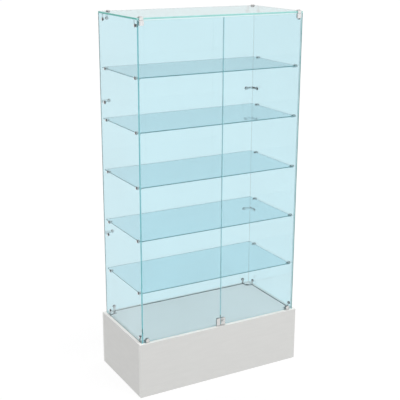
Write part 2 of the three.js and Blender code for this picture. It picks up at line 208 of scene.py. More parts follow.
def height_in(tree, space):
    """In "Object" the height in metres. In "Generated" its share of the object's box, or in the
    world's tree how steeply a ray rises."""
    place = add(tree, "TexCoord")
    split = add(tree, "SeparateXYZ")
    link(tree, place.outputs[space], split.inputs[0])
    return split.outputs["Z"]


def spread(tree, value, low, high, start=0.3, end=0.7):
    """The value stretched from start..end to low..high."""
    node = add(tree, "MapRange", From_Min=start, From_Max=end, To_Min=low, To_Max=high)
    link(tree, value, node.inputs["Value"])
    return node.outputs[0]


def between(tree, factor, first, second):
    """A colour between two others, each a colour or a socket."""
    node = add(tree, "MixRGB")
    link(tree, factor, node.inputs["Fac"])
    for label, colour in (("Color1", first), ("Color2", second)):
        if isinstance(colour, tuple):
            node.inputs[label].default_value = (*colour, 1)
        else:
            link(tree, colour, node.inputs[label])
    return node.outputs[0]


def clouded(tree, texture, first, second):
    """A colour that drifts between two others with the noise."""
    return between(tree, spread(tree, texture, 0, 1), first, second)


def bump(tree, height, strength, distance, shader):
    node = add(tree, "Bump", Strength=strength, Distance=distance)
    link(tree, height, node.inputs["Height"])
    link(tree, node.outputs[0], shader.inputs["Normal"])


def shade(colour, factor):
    return tuple(min(c * factor, 1) for c in colour)


def finished(name, colour, roughness=None, relief=None, **values):
    """A material of one Principled shader with those values. Colour, roughness and relief are
    functions of the node tree: they give the socket of the base colour, that of the roughness,
    and the bump's height, strength and distance."""
    material, tree = new_tree(name)
    shader = add(tree, "BsdfPrincipled", **values)
    link(tree, colour(tree), shader.inputs["Base Color"])
    if roughness:
        link(tree, roughness(tree), shader.inputs["Roughness"])
    if relief:
        bump(tree, *relief(tree), shader)
    surface(tree, shader.outputs[0])
    return material


def glass_material(name, tint):
    """Clear float glass: a faint change of tint over the pane."""
    first, second = shade(tint, 0.988), shade(tint, 1.012)
    return finished(
        name,
        lambda tree: clouded(tree, noise(tree, 2.5, 2), first, second),
        Roughness=0.0,
        IOR=1.5,
        Transmission_Weight=1,
    )


def edge_colour(tree, colour):
    """The colour of light that has run a long way through the pane."""
    return clouded(tree, noise(tree, 40, 3), shade(colour, 0.93), shade(colour, 1.07))


def edge_material(name, colour, ior=1.5):
    """A polished glass edge; the lower its index, the less it mirrors."""
    return finished(name, lambda tree: edge_colour(tree, colour), Roughness=0.08, IOR=ior)


def split_edge_material(name, upper, lower):
    """A shelf's edge: painted shade on its upper half, and on its lower half a painted pale band
    for the light that the shelf throws forward.
    """

    def colour(tree):
        height = spread(tree, height_in(tree, "Generated"), 0, 1, 0.40, 0.50)
        return between(tree, height, lower, edge_colour(tree, upper))

    return finished(name, colour, Roughness=0.08, IOR=1.3)


def painted_shade_edge_material(name, colour, marks):
    """A glass edge with painted shade where fittings stand behind it, over marks given as (low,
    high) heights in metres.
    """
    soft = 0.002

    def with_painted_shade(tree):
        height = height_in(tree, "Object")
        total = None
        for low, high in marks:
            middle, half = (low + high) / 2, (high - low) / 2
            away = maths(tree, "ABSOLUTE", maths(tree, "SUBTRACT", height, middle))
            inside = spread(tree, away, 1, 0, half - soft, half + soft)
            total = inside if total is None else maths(tree, "MAXIMUM", total, inside)
        return between(tree, total, edge_colour(tree, colour), PAINTED_FITTING_SHADE)

    return finished(name, with_painted_shade, Roughness=0.08, IOR=1.5)


def satin_material(name, low, high):
    """Satin plate: fine brushing on the fittings' front faces."""
    return finished(
        name,
        lambda tree: clouded(tree, noise(tree, 80, 4, (1, 1, 6)), low, high),
        lambda tree: spread(tree, noise(tree, 400, 4, (1, 1, 8)), 0.24, 0.34),
        lambda tree: (noise(tree, 900, 2, (1, 1, 10)), 0.03, 0.0001),
        Metallic=1.0,
    )


def chrome_material(name):
    """Polished chrome plate with faint haze and handling marks."""
    return finished(
        name,
        lambda tree: clouded(tree, noise(tree, 60, 4), (0.84, 0.85, 0.86), (0.89, 0.90, 0.91)),
        lambda tree: spread(tree, noise(tree, 220, 5), 0.04, 0.10),
        lambda tree: (noise(tree, 500, 2), 0.04, 0.0002),
        Metallic=1.0,
    )


def hollow_shade_material(name):
    """Near-black metal inside sockets, slots, the keyway and the lock barrel's bore: painted shade
    in those hollows.
    """
    return finished(
        name,
        lambda tree: clouded(tree, noise(tree, 300, 4), (0.10, 0.10, 0.105), (0.16, 0.16, 0.165)),
        lambda tree: spread(tree, noise(tree, 700, 3), 0.3, 0.45),
        Metallic=1.0,
    )


def rubber_material(name, low, high):
    """Rubber: the pads between metal and glass, and the bedding under the walls, whose dark is
    partly painted shade.
    """
    return finished(
        name,
        lambda tree: clouded(tree, noise(tree, 400, 3), low, high),
        lambda tree: spread(tree, noise(tree, 900, 2), 0.5, 0.7),
        IOR=1.5,
    )


def laminate_material(name, colour, grain=(1, 1, 1)):
    """Satin laminate: a fine orange-peel texture and a faint mottle."""
    first, second = shade(colour, 0.985), shade(colour, 1.015)
    return finished(
        name,
        lambda tree: clouded(tree, noise(tree, 9, 5, grain), first, second),
        lambda tree: spread(tree, noise(tree, 35, 4), 0.46, 0.6),
        lambda tree: (noise(tree, 1400, 2), 0.12, 0.0001),
        IOR=1.45,
    )


PAINTED_FITTING_SHADE = (0.012, 0.06, 0.07)  # painted shade on a glass edge: a fitting's dark seen through it
# Heights in metres of that painted shade on the left glass's front edge and on the doors' seam.
LEFT_EDGE_PAINTED_SHADES = ((0.336, 0.359), (1.770, 1.797))
SEAM_PAINTED_SHADES = ((0.321, 0.336),)
LAMINATE = (0.70, 0.70, 0.685)
wall_faces = glass_material("wall_glass", (0.775, 0.915, 0.95))
# The left glass is tinted a little deeper than the other walls: painted shade that darkens the left
# side.
left_faces = glass_material("left_wall_glass", (0.75, 0.902, 0.941))
shelf_faces = glass_material("shelf_glass", (0.71, 0.88, 0.93))
top_faces = glass_material("top_plate_glass", (0.62, 0.93, 0.95))
# The panes' edges are opaque coloured surfaces, not clear glass. Their colours are the glass's own
# green seen along its length, with painted light and shade: each edge is made lighter or darker for
# how light falls on it. This gives the dark rear edge of the left glass, the grey front edge of the
# right glass, the pale left end of the rear glass and the dark ends of the top plate, and the pale
# arrises are painted highlights.
wall_edges = edge_material("wall_glass_edge", (0.17, 0.50, 0.53))
left_edges = painted_shade_edge_material("left_glass_edge", (0.11, 0.45, 0.525), LEFT_EDGE_PAINTED_SHADES)
grey_edges = edge_material("grey_glass_edge", (0.04, 0.21, 0.22), 1.2)
dark_edges = edge_material("dark_glass_edge", (0.01, 0.07, 0.07), 1.1)
seam_edges = painted_shade_edge_material("seam_glass_edge", (0.45, 0.86, 1.0), SEAM_PAINTED_SHADES)
pale_edges = edge_material("rear_glass_edge", (0.62, 0.80, 0.84))
shelf_edges = split_edge_material("shelf_glass_edge", (0.02, 0.22, 0.28), (0.60, 0.88, 0.93))
top_edges = edge_material("top_plate_glass_edge", (0.37, 0.76, 0.71))
top_end_edges = edge_material("top_plate_glass_end_edge", (0.07, 0.46, 0.38))
arrises = edge_material("glass_arris", (0.50, 0.93, 0.95))
chrome = chrome_material("chrome")
satin = satin_material("satin_chrome", (0.86, 0.86, 0.85), (0.92, 0.915, 0.905))
nickel = satin_material("satin_nickel", (0.66, 0.665, 0.66), (0.73, 0.73, 0.72))
socket = hollow_shade_material("socket")
rubber = rubber_material("rubber", (0.012, 0.012, 0.013), (0.022, 0.022, 0.024))
# The bedding is a real rubber strip whose dark is also painted shade. It stands for the contact
# shadow along the walls' feet, and it darkens the side and rear panes' lower edges too.
bedding_and_shade = rubber_material("bedding_and_shade", (0.012, 0.035, 0.045), (0.02, 0.05, 0.06))
laminate = laminate_material("laminate", LAMINATE, (1, 1, 6))
# The edge band is the laminate made 12% lighter: painted light that brightens the boards' top
# edges.
edge_band = laminate_material("edge_band", shade(LAMINATE, 1.12))


# ---- Shapes, in millimetres ----

CHROME, SOCKET, RUBBER, SATIN, NICKEL = range(5)
METAL = [chrome, socket, rubber, satin, nickel]
RIGHT = (1, 0, 0)
BACK, FRONT = (0, 1, 0), (0, -1, 0)
UP, DOWN = (0, 0, 1), (0, 0, -1)

# Slabs are drawn in x and y; these turn them upright.
ACROSS_X = Matrix(((0, 0, 1, 0), (1, 0, 0, 0), (0, 1, 0, 0), (0, 0, 0, 1)))  # y, z, thickness x
ACROSS_Y = Matrix(((1, 0, 0, 0), (0, 0, -1, 0), (0, 1, 0, 0), (0, 0, 0, 1)))  # x, z, thickness -y


def skin(bm, loops, material):
    """The faces between each ring of vertices and the next, and the two ends."""
    count = len(loops[0])
    for low, high in zip(loops, loops[1:]):
        for i in range(count):
            j = (i + 1) % count
            bm.faces.new((low[i], low[j], high[j], high[i])).material_index = material
    bm.faces.new(list(reversed(loops[0]))).material_index = material
    bm.faces.new(loops[-1]).material_index = material


def turned(bm, rings, place, segments=40, closed=False, material=CHROME):
    """A shape of revolution about its own z. A ring is (radius, height), and may go on with a
    number of sides, for a polygon of that inscribed radius, and with its own material."""
    loops = []
    for radius, height, *rest in rings:
        sides = rest[0] if rest else 0
        loop = []
        for i in range(segments):
            angle = 2 * math.pi * i / segments
            reach = radius
            if sides:
                step = 2 * math.pi / sides
                reach = radius / math.cos((angle % step) - step / 2)
            point = Vector((reach * math.cos(angle), reach * math.sin(angle), height))
            loop.append(bm.verts.new(place @ point))
        loops.append(loop)
    numbers = [ring[3] if len(ring) > 3 else material for ring in rings]
    pairs = list(zip(loops, loops[1:]))
    if closed:
        pairs.append((loops[-1], loops[0]))
    for (low, high), number in zip(pairs, numbers):
        for i in range(segments):
            j = (i + 1) % segments
            bm.faces.new((low[i], low[j], high[j], high[i])).material_index = number
    if not closed:
        bm.faces.new(list(reversed(loops[0]))).material_index = material
        bm.faces.new(loops[-1]).material_index = numbers[-1]


def facing(point, direction):
    """The place of a turned shape whose z starts at the point and runs along the direction."""
    turn = Vector(UP).rotation_difference(Vector(direction)).to_matrix().to_4x4()
    return Matrix.Translation(Vector(point)) @ turn


def rounded(points, radii, steps=6):
    """A closed outline whose corners are rounded, each by its own radius."""
    outline = []
    for i, radius in enumerate(radii):
        corner = Vector(points[i])
        back = (Vector(points[i - 1]) - corner).normalized()
        ahead = (Vector(points[(i + 1) % len(points)]) - corner).normalized()
        if radius <= 0:
            outline.append(corner)
            continue
        half = back.angle(ahead) / 2
        centre = corner + (back + ahead).normalized() * (radius / math.sin(half))
        start = corner + back * (radius / math.tan(half)) - centre
        end = corner + ahead * (radius / math.tan(half)) - centre
        turn = math.atan2(start.x * end.y - start.y * end.x, start.dot(end))
        for k in range(steps + 1):
            angle = turn * k / steps
            c, s = math.cos(angle), math.sin(angle)
            outline.append(centre + Vector((start.x * c - start.y * s, start.x * s + start.y * c)))
    return outline


def rectangle(x0, x1, y0, y1, radius, steps):
    return rounded([(x0, y0), (x1, y0), (x1, y1), (x0, y1)], [radius] * 4, steps)


def arc(centre, radius, start, steps):
    """The points of a half circle, anticlockwise from the start angle."""
    points = []
    for k in range(steps + 1):
        angle = start + math.pi * k / steps
        way = Vector((math.cos(angle), math.sin(angle)))
        points.append(Vector(centre) + radius * way)
    return points


def shrunk(outline, inset):
    """The outline moved inwards; it runs anticlockwise."""
    sharpest = 0.3  # keeps a pointed corner from running away
    result = []
    for i, point in enumerate(outline):
        before = (point - outline[i - 1]).normalized()
        after = (outline[(i + 1) % len(outline)] - point).normalized()
        normal_a = Vector((-before.y, before.x))
        normal_b = Vector((-after.y, after.x))
        middle = (normal_a + normal_b).normalized()
        result.append(point + middle * (inset / max(middle.dot(normal_a), sharpest)))
    return result


def slab(bm, outline, low, high, edge, place=Matrix.Identity(4), material=CHROME):
    """A plate with that outline in its own x and y, with rounded rims."""
    steps = 3
    rim = []
    for k in range(steps + 1):
        angle = math.pi / 2 * k / steps
        rim.append((edge * (1 - math.sin(angle)), edge * (1 - math.cos(angle))))
    layers = [(inset, low + rise) for inset, rise in rim]
    layers += [(inset, high - rise) for inset, rise in reversed(rim)]
    loops = []
    for inset, z in layers:
        ring = shrunk(outline, inset) if inset > 1e-6 else outline
        loops.append([bm.verts.new(place @ Vector((p.x, p.y, z))) for p in ring])
    skin(bm, loops, material)


def strap(bm, points, acrosses, width, thickness, bend, noses=(True, True), edge=0.6):
    """A flat bar along the points. Each leg has its own direction across, and noses says which
    ends are round."""
    steps = 6
    blunt = 0.03  # a nose starts this share of the way round, with a narrow face
    points = [Vector(p) for p in points]
    half = width / 2

    def nose(tip, inwards, across, along):
        row = []
        for k in range(steps + 1):
            angle = math.pi / 2 * max(k / steps, blunt)
            place = tip + inwards * half * (1 - math.cos(angle))
            row.append((place, across, along, half * math.sin(angle)))
        return row

    stations = []  # place, direction across, direction along, half the width
    last = len(points) - 2
    for i in range(last + 1):
        start, end = points[i], points[i + 1]
        along = (end - start).normalized()
        across = Vector(acrosses[i]).normalized()
        if i == 0:
            square = [(start, across, along, half)]
            stations += nose(start, along, across, along) if noses[0] else square
        if i < last:
            after = (points[i + 2] - end).normalized()
            next_across = Vector(acrosses[i + 1]).normalized()
            half_angle = (-along).angle(after) / 2
            back = bend / math.tan(half_angle)
            centre = end + (after - along).normalized() * (bend / math.sin(half_angle))
            first = end - along * back - centre
            final = end + after * back - centre
            for k in range(steps + 1):
                t = k / steps
                place = centre + first.slerp(final, t, first).normalized() * bend
                turned_across = across.lerp(next_across, t).normalized()
                stations.append((place, turned_across, along.slerp(after, t, along), half))
        else:
            square = [(end, across, along, half)]
            stations += reversed(nose(end, -along, across, along)) if noses[1] else square
    loops = []
    for place, across, along, reach in stations:
        normal = along.cross(across).normalized()
        side = normal.cross(along).normalized()
        round_edge = min(edge, reach * 0.9)
        ring = []
        for sx, sy, quarter in ((1, 1, 0), (-1, 1, 1), (-1, -1, 2), (1, -1, 3)):
            for k in range(4):
                angle = math.pi / 2 * (quarter + k / 3)
                x = sx * (reach - round_edge) + round_edge * math.cos(angle)
                y = sy * (thickness / 2 - round_edge) + round_edge * math.sin(angle)
                ring.append(bm.verts.new(place + side * x + normal * y))
        loops.append(ring)
    skin(bm, loops, CHROME)


def button(radius, height=HEAD_HEIGHT):
    """A screw head: a tapered side, a rounded shoulder, a crowned face and a hexagon socket."""
    hexagon = 2.0
    depth = 1.8
    dome = 0.35
    free = radius * 0.78
    side = height - dome - 0.5
    return [
        (radius - 0.35, 0.0),
        (radius, 0.3),
        (radius - 0.05, 0.6),
        (radius + (free - radius) * 0.8 * side / height, side),
        (free + 0.15, height - dome - 0.12),
        (free - 0.45, height - dome + 0.12),
        ((free + hexagon) / 2 + 0.5, height - 0.05),
        (hexagon + 0.75, height),
        (hexagon + 0.4, height, 0, CHROME),
        (hexagon, height - 0.35, 6, SOCKET),
        (hexagon, height - depth, 6, SOCKET),
        (0.25, height - depth - 0.35, 0, SOCKET),
    ]


def cap(radius, height, crown, rim):
    """A covering cap: a rounded rim and a crowned face with a shallow ring."""
    free = radius * 0.80
    edge = height - crown
    return [
        (radius - 0.3, 0.0), (radius, 0.3), (radius, rim), (radius - 0.3, rim + 0.5),
        (free + 0.5, edge - 0.3), (free - 0.1, edge + 0.2), (free - 0.9, edge + 0.5),
        (free * 0.75, height - crown * 0.25), (free * 0.45, height - 0.08), (free * 0.15, height),
    ]


def pad(bm, radius, point, direction, segments=40):
    """A round rubber pad in the gap between metal and glass, from the glass towards the metal."""
    rings = [(radius, FILM), (radius, SEAT - FILM)]
    turned(bm, rings, facing(point, direction), segments, material=RUBBER)


def pad_slab(bm, outline, low, high, place=Matrix.Identity(4)):
    """A rubber pad of any outline that fills a gap."""
    slab(bm, outline, low + FILM, high - FILM, 0.02, place, RUBBER)


def shank(bm, radius, start, end, segments=20):
    start, end = Vector(start), Vector(end)
    length = (end - start).length
    turned(bm, [(radius, 0), (radius, length)], facing(start, end - start), segments)


# ---- From shapes to pieces ----


def to_mesh(bm, name, flip_x=False, flip_z=False, sharp=32):
    """The shape as a mesh in metres, mirrored where asked. Faces of many corners are flat, and
    the others smooth but for edges that turn by more than the sharp angle, in degrees."""
    bmesh.ops.recalc_face_normals(bm, faces=bm.faces)
    if flip_x:
        bmesh.ops.scale(bm, vec=(-1, 1, 1), verts=bm.verts)
    if flip_z:
        bmesh.ops.translate(bm, vec=(0, 0, -MIDDLE_Z), verts=bm.verts)
        bmesh.ops.scale(bm, vec=(1, 1, -1), verts=bm.verts)
        bmesh.ops.translate(bm, vec=(0, 0, MIDDLE_Z), verts=bm.verts)
    if flip_x != flip_z:
        bmesh.ops.reverse_faces(bm, faces=bm.faces)
    bmesh.ops.scale(bm, vec=(MM, MM, MM), verts=bm.verts)
    for face in bm.faces:
        face.smooth = len(face.verts) <= 4
    for edge in bm.edges:
        edge.smooth = len(edge.link_faces) == 2 and edge.calc_face_angle(0) < math.radians(sharp)
    mesh = bpy.data.meshes.new(name)
    bm.to_mesh(mesh)
    bm.free()
    return mesh


def carved(mesh, cutters, materials=()):
    """The mesh with the cutters' volume taken away. The cut keeps the cutters' own numbers, and
    both need the materials for that."""
    for material in materials:
        mesh.materials.append(material)
        cutters.materials.append(material)
    whole = bpy.data.objects.new("carving", mesh)
    tool = bpy.data.objects.new("cutter", cutters)
    for obj in (whole, tool):
        bpy.context.scene.collection.objects.link(obj)
    step = whole.modifiers.new("cut", "BOOLEAN")
    step.operation = "DIFFERENCE"
    step.solver = "EXACT"
    step.object = tool
    depsgraph = bpy.context.evaluated_depsgraph_get()
    result = bpy.data.meshes.new_from_object(whole.evaluated_get(depsgraph))
    for obj in (whole, tool):
        bpy.data.objects.remove(obj)
    result.name = mesh.name
    return result


def bores(holes, segments, **options):
    """Cutters for round holes: (start, end, radius) of each."""
    bm = bmesh.new()
    for start, end, radius in holes:
        shank(bm, radius, start, end, segments)
    return to_mesh(bm, "tools", **options)


def show(node, mesh, materials, place=(0, 0, 0)):
    """A piece that stands for its CAD node."""
    for material in materials:
        if material.name not in mesh.materials:
            mesh.materials.append(material)
    piece = bpy.data.objects.new(node + "_look", mesh)
    piece.location = [v * MM for v in place]
    bpy.context.scene.collection.objects.link(piece)
    bpy.context.view_layer.update()
    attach(piece, BODY_OF[node])
    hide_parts(node)


def blank(node, softening, steps):
    """A block that fills the CAD node's box, with softened edges."""
    low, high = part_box(node)
    size = high - low
    bm = bmesh.new()
    bmesh.ops.create_cube(bm, size=1)
    for vert in bm.verts:
        vert.co = Vector(((low[i] + (vert.co[i] + 0.5) * size[i]) / MM for i in range(3)))
    edges = list(bm.edges)
    bmesh.ops.bevel(bm, geom=edges, offset=softening, segments=steps, affect="EDGES", profile=0.5)
    return bm


# ---- Pedestal ----

# The axis that each board's broad faces look along.
BOARDS = {"front_panel": 1, "rear_panel": 1, "left_panel": 0, "right_panel": 0, "deck": 2, "rib": 0}
SCREW_PLACES = (FOOT, (BRACKET_SCREW_X, BRACKET_SCREW_Y))


def board(node, broad):
    """A board with laminate on its broad faces, edge band on the others and round corners."""
    bm = blank(node, 0.8, 2)
    bm.normal_update()
    for face in bm.faces:
        face.material_index = 0 if abs(face.normal[broad]) > 0.9 else 1
    mesh = to_mesh(bm, node + "_look")
    for polygon in mesh.polygons:
        polygon.use_smooth = max(abs(v) for v in polygon.normal) < 0.999
    return mesh


def add_pedestal():
    depths = (BASE_HEIGHT - WOOD_SCREW_LENGTH - SEAT, BASE_HEIGHT + 2)
    places = [(side * x, y) for side in (1, -1) for x, y in SCREW_PLACES]
    holes = [((*place, depths[0]), (*place, depths[1]), WOOD_HOLE) for place in places]
    for name, broad in BOARDS.items():
        node = "base_" + name
        mesh = board(node, broad)
        if name == "deck":
            mesh = carved(mesh, bores(holes, 24), [laminate, edge_band])
        show(node, mesh, [laminate, edge_band])


# ---- Glass ----

FACES, EDGES, ARRISES, SPECIAL = range(4)  # a pane's material numbers
SIDE_BEAD = (-179, 157.5)  # the bedding ends at the front brackets and the rear corners' feet
REAR_BEAD = (-382, 382)


def bead(bm, start, end, inwards, depth, height):
    """A fillet of dark bedding along a pane's foot, from the glass towards the inside. Its dark and
    its size are partly painted shade, for the contact shadow at the foot.
    """
    steps = 6
    section = [(FILM, FILM)]
    for k in range(steps + 1):
        angle = math.pi / 2 * k / steps
        reach = max(depth * math.cos(angle), FILM)
        section.append((reach, FILM + (height - FILM) * math.sin(angle)))
    loops = []
    for end_point in (start, end):
        place = Vector((*end_point, BASE_HEIGHT))
        row = [place + Vector(inwards) * x + Vector((0, 0, z)) for x, z in section]
        loops.append([bm.verts.new(point) for point in row])
    skin(bm, loops, 0)


def way_of(normal, axis):
    """The name of the direction that a face looks in, such as "-y"."""
    return ("-" if normal[axis] < 0 else "+") + "xyz"[axis]


def pane(node, faces, edges, holes=(), arris=0.7, special=None, foot=None):
    """A sheet of glass with ground edges and drilled holes. An edge that faces a direction such
    as "-y" may have a special material. The foot is the bead of bedding, as bead takes it."""
    mesh = to_mesh(blank(node, arris, 1), node + "_look", sharp=1)
    if holes:
        mesh = carved(mesh, bores(holes, 28, sharp=1))
    low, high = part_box(node)
    thin = min(range(3), key=lambda i: high[i] - low[i])
    special = special or {}
    numbers = {way: SPECIAL + i for i, way in enumerate(special)}
    for polygon in mesh.polygons:
        normal = polygon.normal
        polygon.use_smooth = False
        axis = max(range(3), key=lambda i: abs(normal[i]))
        if abs(normal[axis]) < 0.98:
            ways = [way_of(normal, i) for i in range(3) if abs(normal[i]) > 0.3]
            clear = any(special.get(way) is faces for way in ways)
            polygon.material_index = FACES if clear else ARRISES
        elif axis == thin:
            polygon.material_index = FACES
        else:
            polygon.material_index = numbers.get(way_of(normal, axis), EDGES)
    for material in (faces, edges, arrises, *special.values()):
        mesh.materials.append(material)
    if foot:
        bm = bmesh.new()
        bead(bm, *foot)
        strip = to_mesh(bm, "bead", sharp=60)
        for polygon in strip.polygons:
            polygon.material_index = numbers["-z"]
        bm = bmesh.new()
        bm.from_mesh(mesh)
        bm.from_mesh(strip)
        bm.to_mesh(mesh)
        bm.free()
    show(node, mesh, [])


def add_side_glass(side, sign, faces, ends, bead_size):
    """The bead's size is its depth and height."""
    holes = [(LINK_Y, z) for z in CORNER_ZS + list(LINK_ZS.values())]
    holes += [(BRACKET_SCREW_Y, z) for z in CORNER_ZS]
    holes += [(y, z - SHELF_GLASS / 2) for z in SHELF_TOPS for y in SUPPORT_YS.values()]
    inner, outer = sign * (WALL_X - 1), sign * (DECK_X + 1)
    drilled = [((inner, y, z), (outer, y, z), GLASS_HOLE) for y, z in holes]
    start, end = [(sign * WALL_X, y) for y in SIDE_BEAD]
    foot = (start, end, (-sign, 0, 0), *bead_size)
    pane("side_glass_" + side, faces, wall_edges, drilled, special=ends, foot=foot)


def add_glass():
    # Each wall's bead has its own size, set to the painted contact shadow along its foot.
    ends = {"-y": left_edges, "+y": dark_edges, "-z": bedding_and_shade}
    add_side_glass("left", -1, left_faces, ends, (1.5, 1.2))
    ends = {"-y": grey_edges, "+y": wall_faces, "-z": bedding_and_shade}
    add_side_glass("right", 1, wall_faces, ends, (3, 1.7))

    places = [(x, z) for z in CORNER_ZS + list(LINK_ZS.values()) for x in (-LINK_X, LINK_X)]
    holes = [((x, REAR_Y - 1, z), (x, DECK_Y + 1, z), GLASS_HOLE) for x, z in places]
    ends = {"-x": pale_edges, "+x": wall_faces, "-z": bedding_and_shade}
    foot = (*[(x, REAR_Y) for x in REAR_BEAD], FRONT, 4, 2)
    pane("rear_glass", wall_faces, wall_edges, holes, special=ends, foot=foot)

    low, high = TOP_Z - 1, TOP_Z + TOP_GLASS + 1
    places = [(sign * x, y) for sign in (-1, 1) for x, y in (FOOT, TOP_CAP)]
    holes = [((*place, low), (*place, high), GLASS_HOLE) for place in places]
    ends = {"-x": top_end_edges, "+x": top_end_edges}
    pane("top_glass", top_faces, top_edges, holes, arris=1.0, special=ends)

    for k in range(len(SHELF_TOPS)):
        pane(f"shelf_glass_{k + 1}", shelf_faces, shelf_edges)
    seam = {"-x": seam_edges, "+x": seam_edges}
    pane("door_glass_left", wall_faces, wall_edges, special=seam)
    holes = [((LOCK_X, FRONT_Y - 1, LOCK_Z), (LOCK_X, DOOR_BACK_Y + 1, LOCK_Z), PLUG + 1)]
    pane("door_glass_right", wall_faces, wall_edges, holes, special=seam)


# ---- Shelf supports ----


def support_shape():
    """A clamp on the right glass at y = 0, round a shelf whose top face is at z = 0."""
    bm = bmesh.new()
    half = SUPPORT_HALF
    wall = WALL_X - SEAT
    under = -SHELF_GLASS - SEAT
    low, high = under - SUPPORT_JAW, SEAT + SUPPORT_JAW
    for reach, jaw in ((SUPPORT_LOWER_REACH, (low, under)), (SUPPORT_UPPER_REACH, (SEAT, high))):
        nose = arc((WALL_X - reach + half, 0), half, math.pi / 2, 16)
        slab(bm, [Vector((wall, -half)), Vector((wall, half)), *nose], *jaw, 0.9)
    back = rectangle(-half, half, low, high, 1.0, 4)
    slab(bm, back, SHELF_X + SEAT, wall, 0.5, ACROSS_X)
    middle = -SHELF_GLASS / 2
    shank(bm, SCREW, (WALL_X - 2, 0, middle), (DECK_X + 1.5, 0, middle))
    turned(bm, cap(6, 2.5, crown=0.8, rim=0.6), facing((DECK_X + SEAT, 0, middle), RIGHT))
    pad(bm, 6.3, (DECK_X, 0, middle), RIGHT)
    strip = rectangle(SHELF_X - 8, SHELF_X, -half + 0.4, half - 0.4, 0.8, 3)
    pad_slab(bm, strip, under, under + SEAT)
    pad_slab(bm, strip, 0, SEAT)
    face = rectangle(-half + 0.2, half - 0.2, low + 0.2, high - 0.2, 0.8, 3)
    pad_slab(bm, face, wall, WALL_X, ACROSS_X)
    grub = [
        (2.4, 0), (2.4, 1.0), (2.1, 1.3), (1.5, 1.3, 0, CHROME),
        (1.3, 1.1, 6, SOCKET), (1.3, 0.2, 6, SOCKET), (0.2, 0.1, 0, SOCKET),
    ]
    turned(bm, grub, facing((WALL_X - 12, 0, low + 0.1), DOWN), 24)
    return bm


def add_shelf_supports():
    meshes = {
        "right": to_mesh(support_shape(), "support_right"),
        "left": to_mesh(support_shape(), "support_left", flip_x=True),
    }
    for k, top in enumerate(SHELF_TOPS):
        for side, mesh in meshes.items():
            for row, y in SUPPORT_YS.items():
                node = f"shelf_support_{k + 1}_{side}_{row}"
                show(node, mesh, METAL, (0, y, top))


# ---- Connectors with screws through the glass ----

# The middle of a plate against the side glass, and against the rear glass.
PLATE_X = WALL_X - SEAT - CONNECTOR_PLATE / 2
PLATE_Y = REAR_Y - SEAT - CONNECTOR_PLATE / 2


def glass_screw(bm, inner, outwards, plate):
    """A screw through a wall, at that point of its inner face: a head on the fitting's plate, a
    cap outside, and the pads of both."""
    inner, outwards = Vector(inner), Vector(outwards)
    outer = inner + outwards * (DECK_X - WALL_X)
    head = inner - outwards * (SEAT + plate)
    turned(bm, button(INNER_HEAD), facing(head, -outwards), 48)
    shank(bm, SCREW, head - outwards, outer + outwards * (SEAT + 1.5))
    outer_cap = cap(OUTER_HEAD, 3, crown=0.9, rim=0.7)
    turned(bm, outer_cap, facing(outer + outwards * SEAT, outwards), 48)
    pad(bm, OUTER_HEAD + 0.4, outer, outwards)
    pad(bm, INNER_HEAD + 0.3, inner, -outwards)


def wall_screws(bm, z):
    glass_screw(bm, (LINK_X, REAR_Y, z), BACK, CONNECTOR_PLATE)
    glass_screw(bm, (WALL_X, LINK_Y, z), RIGHT, CONNECTOR_PLATE)


def link_shape(z):
    bm = bmesh.new()
    half = CONNECTOR_WIDTH / 2
    points = [(LINK_X - half, PLATE_Y, z), (PLATE_X, PLATE_Y, z), (PLATE_X, LINK_Y - half, z)]
    strap(bm, points, [UP, UP], CONNECTOR_WIDTH, CONNECTOR_PLATE, bend=3.5)
    wall_screws(bm, z)
    return bm


def foot_fixing(bm, x, y, end):
    """Drawn at the lower end: a wood screw, or a bolt through the top glass with its cap."""
    if end == "bottom":
        shank(bm, SCREW, (x, y, BASE_HEIGHT - WOOD_SCREW_LENGTH), (x, y, PLATE_Z + 1))
        return
    glass = BASE_HEIGHT - TOP_GLASS
    outer = glass - SEAT
    shank(bm, SCREW, (x, y, outer - 3), (x, y, PLATE_Z + 1))
    flat = [
        (10.2, 0), (10.5, 0.3), (10.5, 1.6), (10.2, 2.2), (8.6, 5.3),
        (8.2, 5.8), (7.7, 5.95), (4, 6), (1, 6),
    ]
    turned(bm, flat, facing((x, y, outer), DOWN), 56, material=SATIN)
    pad(bm, 10.8, (x, y, glass), DOWN, 56)
    pad(bm, 9.9, (x, y, BASE_HEIGHT), UP, 56)


def corner_shape(end):
    """A foot with its screw, and an arm to each wall."""
    bm = bmesh.new()
    low = PLATE_Z + CONNECTOR_PLATE / 2
    for x, y, across in ((LINK_X, PLATE_Y, RIGHT), (PLATE_X, LINK_Y, BACK)):
        way = Vector((FOOT[0] - x, FOOT[1] - y, 0))
        flat_across = Vector((-way.y, way.x, 0)).normalized()
        if flat_across.dot(Vector(across)) < 0:
            flat_across = -flat_across
        points = [(x, y, CORNER_Z + CONNECTOR_WIDTH / 2), (x, y, low), (*FOOT, low)]
        acrosses = [across, flat_across]
        strap(bm, points, acrosses, CONNECTOR_WIDTH, CONNECTOR_PLATE, bend=4, noses=(True, False))
    wall_screws(bm, CORNER_Z)
    foot = [(9.4, 0), (10, 0.6), (10, 1.9), (9.8, 2.3), (9.4, 2.5), (8, 2.5)]
    turned(bm, foot, facing((*FOOT, PLATE_Z), UP), 48)
    turned(bm, button(FOOT_HEAD), facing((*FOOT, PLATE_Z + CONNECTOR_PLATE), UP), 48)
    foot_fixing(bm, *FOOT, end)
    return bm


def ends_of(side):
    """Both ends, with how the lower right corner's shape is mirrored to each."""
    for end in ("bottom", "top"):
        yield end, {"flip_x": side == "left", "flip_z": end == "top"}


def add_rear_connectors(side):
    for level, z in LINK_ZS.items():
        node = f"rear_link_{level}_{side}"
        show(node, to_mesh(link_shape(z), node, flip_x=side == "left"), METAL)
    for end, flips in ends_of(side):
        node = f"rear_corner_{end}_{side}"
        show(node, to_mesh(corner_shape(end), node, **flips), METAL)


# ---- Front corner brackets ----


